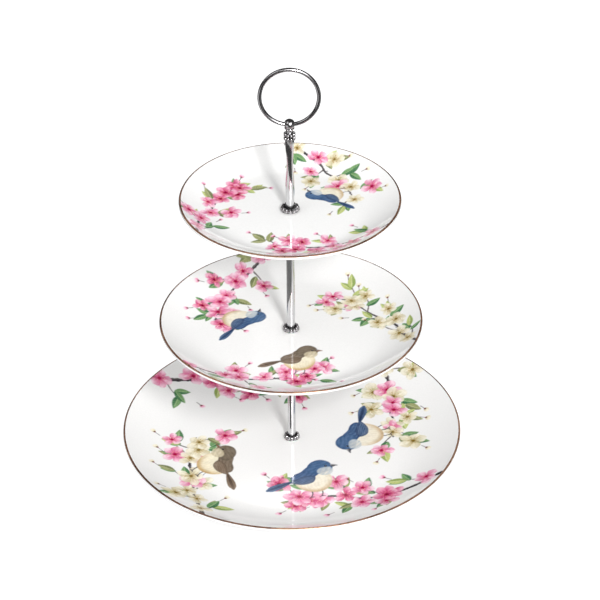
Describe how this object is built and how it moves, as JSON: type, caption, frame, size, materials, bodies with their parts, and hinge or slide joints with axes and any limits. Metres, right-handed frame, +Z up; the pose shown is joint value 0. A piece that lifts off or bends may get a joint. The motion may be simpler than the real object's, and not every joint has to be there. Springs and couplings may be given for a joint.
{
  "type": "tiered cake stand",
  "caption": "Tiered cake stand: round porcelain coupe plates on a chromed screw-together spine with a swinging ring handle.",
  "frame": {"origin": "centre of the bottom plate's foot ring, on the surface the stand rests on", "axes": "+Z up along the spine, -Y towards the front, +X to the right seen from the front"},
  "size_m": [0.26, 0.26, 0.3321],
  "materials": {
    "porcelain": "gloss glaze",
    "overglaze_print": "painted overglaze print",
    "rim_lustre": "burnished rose-gold lustre line",
    "chrome": "mirror plate",
    "steel": "zinc plated",
    "soft_washer": "translucent white, matt"
  },
  "bodies": {
    "base": {"bottom_screw": "steel", "bottom_steel_washer": "steel", "bottom_plate_lower_soft_washer": "soft_washer", "bottom_plate": "porcelain"},
    "lower_seat": {"bottom_plate_upper_soft_washer": "soft_washer"},
    "lower_rod": {"lower_foot": "chrome", "lower_tube": "chrome", "lower_stud": "steel", "middle_support_washer": "chrome", "middle_plate_lower_soft_washer": "soft_washer", "middle_plate": "porcelain"},
    "middle_seat": {"middle_plate_upper_soft_washer": "soft_washer"},
    "middle_rod": {"middle_foot": "chrome", "middle_tube": "chrome", "middle_stud": "steel", "top_support_washer": "chrome", "top_plate_lower_soft_washer": "soft_washer", "top_plate": "porcelain"},
    "top_seat": {"top_plate_upper_soft_washer": "soft_washer"},
    "handle": {"top_foot": "chrome", "handle_column": "chrome", "lower_bead_collar": "chrome", "upper_bead_collar": "chrome", "handle_neck": "chrome", "handle_ball": "chrome"},
    "ring": {"ring_handle": "chrome"}
  },
  "joints": [
    {"name": "lower_rod_lift", "type": "slide", "parent": "base", "child": "lower_seat", "axis": [0, 0, 1], "range_m": [0, 0.008]},
    {"name": "lower_rod_unscrew", "type": "hinge", "parent": "lower_seat", "child": "lower_rod", "pos_m": [0, 0, 0.011], "axis": [0, 0, 1], "range_deg": [0, 3960]},
    {"name": "middle_rod_lift", "type": "slide", "parent": "lower_rod", "child": "middle_seat", "axis": [0, 0, 1], "range_m": [0, 0.008]},
    {"name": "middle_rod_unscrew", "type": "hinge", "parent": "middle_seat", "child": "middle_rod", "pos_m": [0, 0, 0.1115], "axis": [0, 0, 1], "range_deg": [0, 3960]},
    {"name": "handle_lift", "type": "slide", "parent": "middle_rod", "child": "top_seat", "axis": [0, 0, 1], "range_m": [0, 0.008]},
    {"name": "handle_unscrew", "type": "hinge", "parent": "top_seat", "child": "handle", "pos_m": [0, 0, 0.217], "axis": [0, 0, 1], "range_deg": [0, 3960]},
    {"name": "ring_swing", "type": "hinge", "parent": "handle", "child": "ring", "pos_m": [0, 0, 0.2884], "axis": [1, 0, 0], "range_deg": [-165, 176]}
  ],
  "couplings": [
    {"joint": "lower_rod_lift", "follows": "lower_rod_unscrew", "m_per_rad": 0.00011141},
    {"joint": "middle_rod_lift", "follows": "middle_rod_unscrew", "m_per_rad": 0.00011141},
    {"joint": "handle_lift", "follows": "handle_unscrew", "m_per_rad": 0.00011141}
  ]
}
